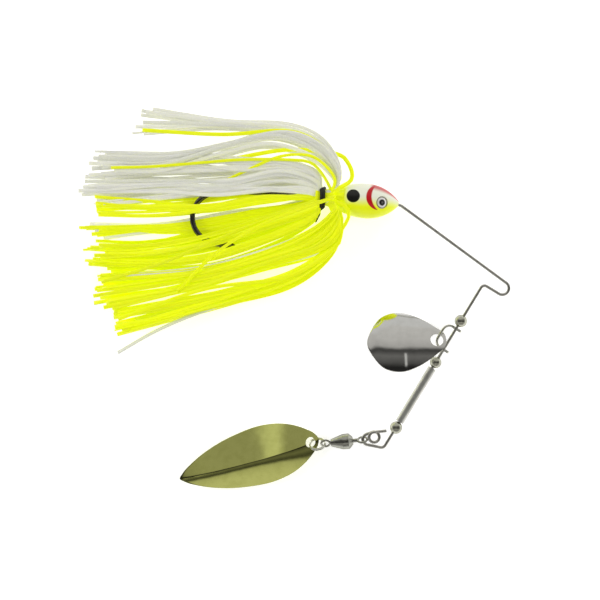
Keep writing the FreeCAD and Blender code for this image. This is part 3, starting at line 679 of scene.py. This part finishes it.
# Each blade in its own axes from the centre of its hole, in millimetres: +X to the far end.
# Stations run from the tail along the blade, as shares of its length and of half its width.
# So that neither blade cuts its neighbour at the end of its swing, the Colorado's hole is 0.25 wider
# than in CAD and the willow's tail 0.3 shorter.
COLORADO = {
    "length": 25.6, "width": 20.4, "tail": 3.2, "hole": 2.05, "cup": 2.4, "crease": 0.0,
    "upper": 2.0, "lower": 2.0, "along": 2.0,
    "stations": [(0.0, 0.0), (0.023, 0.23), (0.125, 0.44), (0.23, 0.63), (0.385, 0.85), (0.595, 1.0),
                 (0.795, 0.87), (0.925, 0.49), (1.0, 0.0)],
}
WILLOW = {
    "length": 46.7, "width": 18.6, "tail": 3.0, "hole": 1.6, "cup": -3.2, "crease": 1.6,
    "upper": 1.5, "lower": 1.05, "along": 1.5,
    "stations": [(0.0, 0.0), (0.021, 0.24), (0.07, 0.46), (0.2, 0.83), (0.372, 1.0), (0.535, 0.945),
                 (0.712, 0.76), (0.888, 0.41), (0.972, 0.15), (1.0, 0.0)],
}
BLADE_THICK = 0.45
BLADE_RIM = 0.12
BLADE_RINGS = 60
OUTLINE_POINTS = 240


def blade_outline(blade):
    """Closed outline, starting at the tail."""
    half = blade["width"] / 2
    upper = [Vector((x * blade["length"] - blade["tail"], y * half)) for x, y in blade["stations"]]
    lower = [Vector((p.x, -p.y)) for p in reversed(upper[1:-1])]
    return closed_curve(upper + lower, OUTLINE_POINTS)


def half_width(outline, x):
    """Half the blade's width at a distance from its hole."""
    upper = outline[:OUTLINE_POINTS // 2 + 1]
    for a, b in zip(upper, upper[1:]):
        if a.x <= x <= b.x:
            return max(1e-3, a.y + (b.y - a.y) * (x - a.x) / max(b.x - a.x, 1e-6))
    return 1e-3


def on_sheet(blade, outline, x, y):
    """Point of the sheet's middle: across to make room for the crease, and up by the dish."""
    wide = half_width(outline, x)
    across = min(1.0, abs(y) / wide)
    share = wide / (blade["width"] / 2)
    power = blade["upper"] if y > 0 else blade["lower"]
    rise = blade["cup"] * share ** blade["along"] * (1 - across ** power)
    return Vector((x, y + blade["crease"] * min(1.0, share) * (1 - across), rise))


def make_blade(name, blade, joint, heading, roll, pitch, material, body, slot, node):
    """Cupped sheet with a rounded rim and a punched hole."""
    mesh = Mesh()
    turn = (Matrix.Rotation(math.radians(heading), 3, "Z") @ Matrix.Rotation(math.radians(pitch), 3, "Y")
            @ Matrix.Rotation(math.radians(roll), 3, "X"))
    hole_place = Vector(JOINTS[joint]["pos_m"])
    outline = blade_outline(blade)
    sides = len(outline)
    rings = BLADE_RINGS
    level = on_sheet(blade, outline, 0.0, 0.0).z
    points = []

    def put(x, y, lift):
        spot = on_sheet(blade, outline, x, y) + UP * (lift - level)
        points.append(hole_place + turn @ (spot * MM))

    half_thick = BLADE_THICK / 2
    layers = [(r / rings, half_thick) for r in range(rings + 1)]
    layers += [(r / rings, -half_thick) for r in range(rings, -1, -1)]
    for share, lift in layers:
        for spot in outline:
            angle = math.atan2(spot.y, spot.x)
            inner = Vector((math.cos(angle), math.sin(angle))) * blade["hole"]
            inset = spot * (1 - BLADE_RIM / max(spot.length, 1e-6))
            ease = share ** 1.15
            place = inner.lerp(inset, ease)
            put(place.x, place.y, lift)
    faces = []
    total = len(layers)
    for ring in range(total - 1):
        for k in range(sides):
            a = ring * sides
            b = a + sides
            faces.append((a + k, b + k, b + (k + 1) % sides, a + (k + 1) % sides))
    for k in range(sides):
        a = (total - 1) * sides
        faces.append((a + k, k, (k + 1) % sides, a + (k + 1) % sides))
    mesh.add(points, faces)
    piece = mesh.finish(name, material, body, slot, [node])
    bevel = piece.modifiers.new("edges", "BEVEL")
    bevel.width = BLADE_RIM * MM
    bevel.segments = 3
    bevel.limit_method = "ANGLE"
    bevel.angle_limit = math.radians(40)
    return piece


# ---------------------------------------------------------------- eyes and beads

# The eye: its radius and how far it stands up, how far it leans forward in degrees, how deep its edge
# and its foot sit in the head, in millimetres, and how finely it is cut.
EYE_RADIUS = 2.0
EYE_RISE = 0.75
EYE_LEAN = 21.6
EYE_SEAT = 0.25
EYE_FOOT = 0.55
EYE_RINGS = 26
EYE_SIDES = 56


def make_eye(name, node, up, materials):
    """Domed eye: dark rim, silver iris in rings, black pupil under a glossy skin."""
    low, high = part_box(node)
    centre = (low + high) / 2
    lean = math.radians(EYE_LEAN)
    axis = (UP * up * math.cos(lean) - REARWARD * math.sin(lean)).normalized()
    radius = EYE_RADIUS * MM
    rise = EYE_RISE * MM
    profile = []
    for index in range(EYE_RINGS + 1):
        share = index / EYE_RINGS
        profile.append((rise * (1 - share ** 2) - EYE_SEAT * MM, max(radius * share, 1e-6)))
    profile.append((-EYE_FOOT * MM, radius))
    mesh = Mesh()
    turned(mesh, centre, axis, profile, EYE_SIDES)
    for index in range(len(profile)):
        share = min(1.0, index / EYE_RINGS)
        for k in range(EYE_SIDES):
            mesh.tints[index * EYE_SIDES + k] = share
    mesh.finish(name, materials["eye"], "frame", "eye", [node])


def eye_material():
    """Rings of the eye by distance from its centre; the grey middle of the pupil is a painted reflection.
    """
    nodes = Nodes("eye_foil").set(Roughness=0.12, Coat_Weight=1.0, Coat_Roughness=0.03, Metallic=0.1)
    share = nodes.node("ShaderNodeAttribute", attribute_name="tint").outputs["Fac"]
    ramp = nodes.node("ShaderNodeValToRGB")
    ramp.color_ramp.interpolation = "EASE"
    # The first two stops, grey at the pupil's middle, are a painted reflection on the black pupil.
    stops = [(0.0, (0.16, 0.15, 0.15)), (0.15, (0.10, 0.10, 0.10)), (0.23, (0.008, 0.008, 0.008)),
             (0.47, (0.010, 0.010, 0.010)), (0.54, (0.70, 0.68, 0.66)), (0.70, (0.86, 0.85, 0.84)),
             (0.80, (0.52, 0.49, 0.45)), (0.87, (0.10, 0.09, 0.08)), (0.95, (0.62, 0.60, 0.42)),
             (1.0, (0.40, 0.40, 0.20))]
    while len(ramp.color_ramp.elements) < len(stops):
        ramp.color_ramp.elements.new(0.5)
    for element, (place, colour) in zip(ramp.color_ramp.elements, stops):
        element.position = place
        element.color = (*colour, 1)
    nodes.link(share, ramp.inputs["Fac"])
    nodes.colour(ramp.outputs["Color"])
    return nodes.material


# ---------------------------------------------------------------- studio

def make_studio(middle_of_box):
    """Pale floor, soft lights, a pale room with one dark side to give metals their contrast."""
    size = 6.0
    data = bpy.data.meshes.new("floor")
    data.from_pydata([(-size, -size, 0), (size, -size, 0), (size, size, 0), (-size, size, 0)], [],
                     [(0, 1, 2, 3)])
    floor = bpy.data.objects.new("floor", data)
    bpy.context.scene.collection.objects.link(floor)
    data.materials.append(floor_paint())

    def softbox(name, place, width, height, power):
        lamp = bpy.data.lights.new(name, "AREA")
        lamp.shape = "RECTANGLE"
        lamp.size = width
        lamp.size_y = height
        lamp.energy = power
        item = bpy.data.objects.new(name, lamp)
        item.location = place
        item.rotation_euler = (middle_of_box - Vector(place)).to_track_quat("-Z", "Y").to_euler()
        item.visible_glossy = False
        bpy.context.scene.collection.objects.link(item)

    softbox("left", (-0.70, 0.10, 0.46), 0.5, 0.5, 3.4)
    softbox("right", (0.70, 0.05, 0.46), 0.5, 0.5, 3.4)

    world = bpy.data.worlds.new("room")
    bpy.context.scene.world = world
    world.use_nodes = True
    tree = world.node_tree
    coordinate = tree.nodes.new("ShaderNodeTexCoord")
    split = tree.nodes.new("ShaderNodeSeparateXYZ")
    tree.links.new(coordinate.outputs["Generated"], split.inputs[0])

    def smooth(value, low, high):
        item = tree.nodes.new("ShaderNodeMapRange")
        item.interpolation_type = "SMOOTHSTEP"
        item.inputs["From Min"].default_value = low
        item.inputs["From Max"].default_value = high
        tree.links.new(value, item.inputs["Value"])
        return item.outputs["Result"]

    def maths(operation, first, second):
        item = tree.nodes.new("ShaderNodeMath")
        item.operation = operation
        for socket, value in zip(item.inputs, (first, second)):
            if isinstance(value, (int, float)):
                socket.default_value = value
            else:
                tree.links.new(value, socket)
        return item.outputs[0]

    towards = maths("MULTIPLY", maths("ADD", split.outputs["Y"], 1.0), 0.5)
    walls = tree.nodes.new("ShaderNodeValToRGB")
    stops = [(-1.0, 0.30), (-0.80, 0.34), (-0.765, 0.05), (-0.735, 0.05), (-0.70, 0.34), (-0.42, 0.40),
             (-0.30, 0.30), (-0.22, 0.03), (-0.04, 0.02), (0.06, 0.10), (0.24, 0.18), (0.37, 0.07),
             (0.41, 0.08), (0.49, 0.52), (0.66, 0.64), (1.0, 0.72)]
    while len(walls.color_ramp.elements) < len(stops):
        walls.color_ramp.elements.new(0.5)
    for element, (direction, tone) in zip(walls.color_ramp.elements, stops):
        element.position = (direction + 1) / 2
        element.color = (tone, tone * 0.985, tone * 0.95, 1)
    tree.links.new(towards, walls.inputs["Fac"])

    def strip(middle_x, soft_x, low_y, high_y):
        """A soft bright bar across the room, upright in X and from low to high in Y."""
        off_centre = maths("ABSOLUTE", maths("SUBTRACT", split.outputs["X"], middle_x), 0.0)
        inside = maths("MULTIPLY", smooth(split.outputs["Y"], low_y, low_y + 0.08),
                       smooth(split.outputs["Y"], high_y, high_y - 0.08))
        return maths("MULTIPLY", smooth(off_centre, soft_x, soft_x * 0.1), inside)

    streak = maths("ADD", strip(0.0, 0.13, -0.72, -0.30), strip(0.24, 0.055, -0.06, 0.36))

    def blend(share, first, second):
        item = tree.nodes.new("ShaderNodeMix")
        item.data_type = "RGBA"
        sockets = [s for s in item.inputs if s.enabled]
        for socket, value in zip(sockets, (share, first, second)):
            if isinstance(value, tuple):
                socket.default_value = value
            else:
                tree.links.new(value, socket)
        return next(s for s in item.outputs if s.enabled)

    lit = blend(maths("MULTIPLY", streak, 0.75), walls.outputs["Color"], (0.85, 0.85, 0.83, 1))
    above_horizon = smooth(split.outputs["Z"], 0.28, 0.40)
    tone = blend(above_horizon, (0.74, 0.74, 0.73, 1), lit)
    background = tree.nodes["Background"]
    tree.links.new(tone, background.inputs["Color"])
    background.inputs["Strength"].default_value = 1.0


def make_camera():
    """Long lens straight above, framing 192 mm at the height of the wire."""
    wide = 192 * MM
    lens = 100.0
    camera = bpy.data.cameras.new("camera")
    camera.lens = lens
    camera.sensor_width = 36.0
    camera.clip_end = 20.0
    item = bpy.data.objects.new("camera", camera)
    centre = (Vector(cad_box[0]) + Vector(cad_box[1])) / 2
    wire_height = middle("bead_top").z
    item.location = (centre.x + 0.9 * MM, centre.y - 0.9 * MM, wire_height + wide * lens / 36.0)
    bpy.context.scene.collection.objects.link(item)
    bpy.context.scene.camera = item


def dress(node, material):
    """Gives a CAD node that stays a better material."""
    data = frame["nodes"][node].data
    data.materials.clear()
    data.materials.append(material)


def main():
    make_studio((Vector(cad_box[0]) + Vector(cad_box[1])) / 2)
    make_camera()
    bpy.context.scene.view_settings.view_transform = "Standard"

    nickel = metal("nickel_plate", (0.66, 0.655, 0.63), (0.62, 0.615, 0.59), 0.05, 0.10, 900, 1.5)
    bright = metal("nickel_bead", (0.56, 0.56, 0.46), (0.44, 0.44, 0.37), 0.16, 0.26, 1800)
    dull = metal("nickel_swivel", (0.42, 0.42, 0.37), (0.34, 0.34, 0.30), 0.16, 0.26, 1800)
    brushed = metal("nickel_tube", (0.82, 0.82, 0.76), (0.70, 0.70, 0.65), 0.38, 0.48, 2200)
    drawn = metal("nickel_wire", (0.80, 0.80, 0.72), (0.68, 0.68, 0.61), 0.22, 0.32, 2200)
    steel = metal("steel_wire", (0.60, 0.59, 0.54), (0.50, 0.49, 0.45), 0.22, 0.34, 2600)
    black_nickel = metal("black_nickel", (0.17, 0.165, 0.15), (0.11, 0.105, 0.10), 0.16, 0.30, 2200)
    gold = metal("gold_plate", (0.65, 0.67, 0.21), (0.59, 0.61, 0.18), 0.07, 0.13, 500, 1.5)
    white = silicone("silicone_pearl", (0.82, 0.82, 0.74), (0.68, 0.69, 0.60), 0.10)
    chartreuse = silicone("silicone_chartreuse", (0.84, 0.92, 0.004), (0.73, 0.80, 0.008), 0.19)
    band = rubber("band_rubber", (0.008, 0.008, 0.008))

    for node in ("bead_top", "bead_middle", "bead_bottom"):
        dress(node, bright)
    for node in ("clevis", "split_ring"):
        dress(node, drawn)
    for node in ("swivel_rotor", "swivel_balls", "swivel_barrel", "swivel_fixed_eye"):
        dress(node, dull)
    dress("spacer_tube", brushed)
    dress("wire_form", steel)
    dress("hook", black_nickel)
    dress("lead_head", head_paint())
    make_skirt({"white": white, "chartreuse": chartreuse})
    make_gather(chartreuse)
    make_band(band)
    eyes = {"eye": eye_material()}
    make_eye("eye_dome_left", "eye_left", 1, eyes)
    make_eye("eye_dome_right", "eye_right", -1, eyes)
    make_blade("colorado_sheet", COLORADO, "colorado_swing", 182.5, 22.0, 0.0, nickel, "colorado",
               "colorado_plate", "colorado_blade")
    make_blade("willow_sheet", WILLOW, "willow_swing", 196.2, 0.0, 1.0, gold, "willow",
               "willow_plate", "willow_blade")


main()
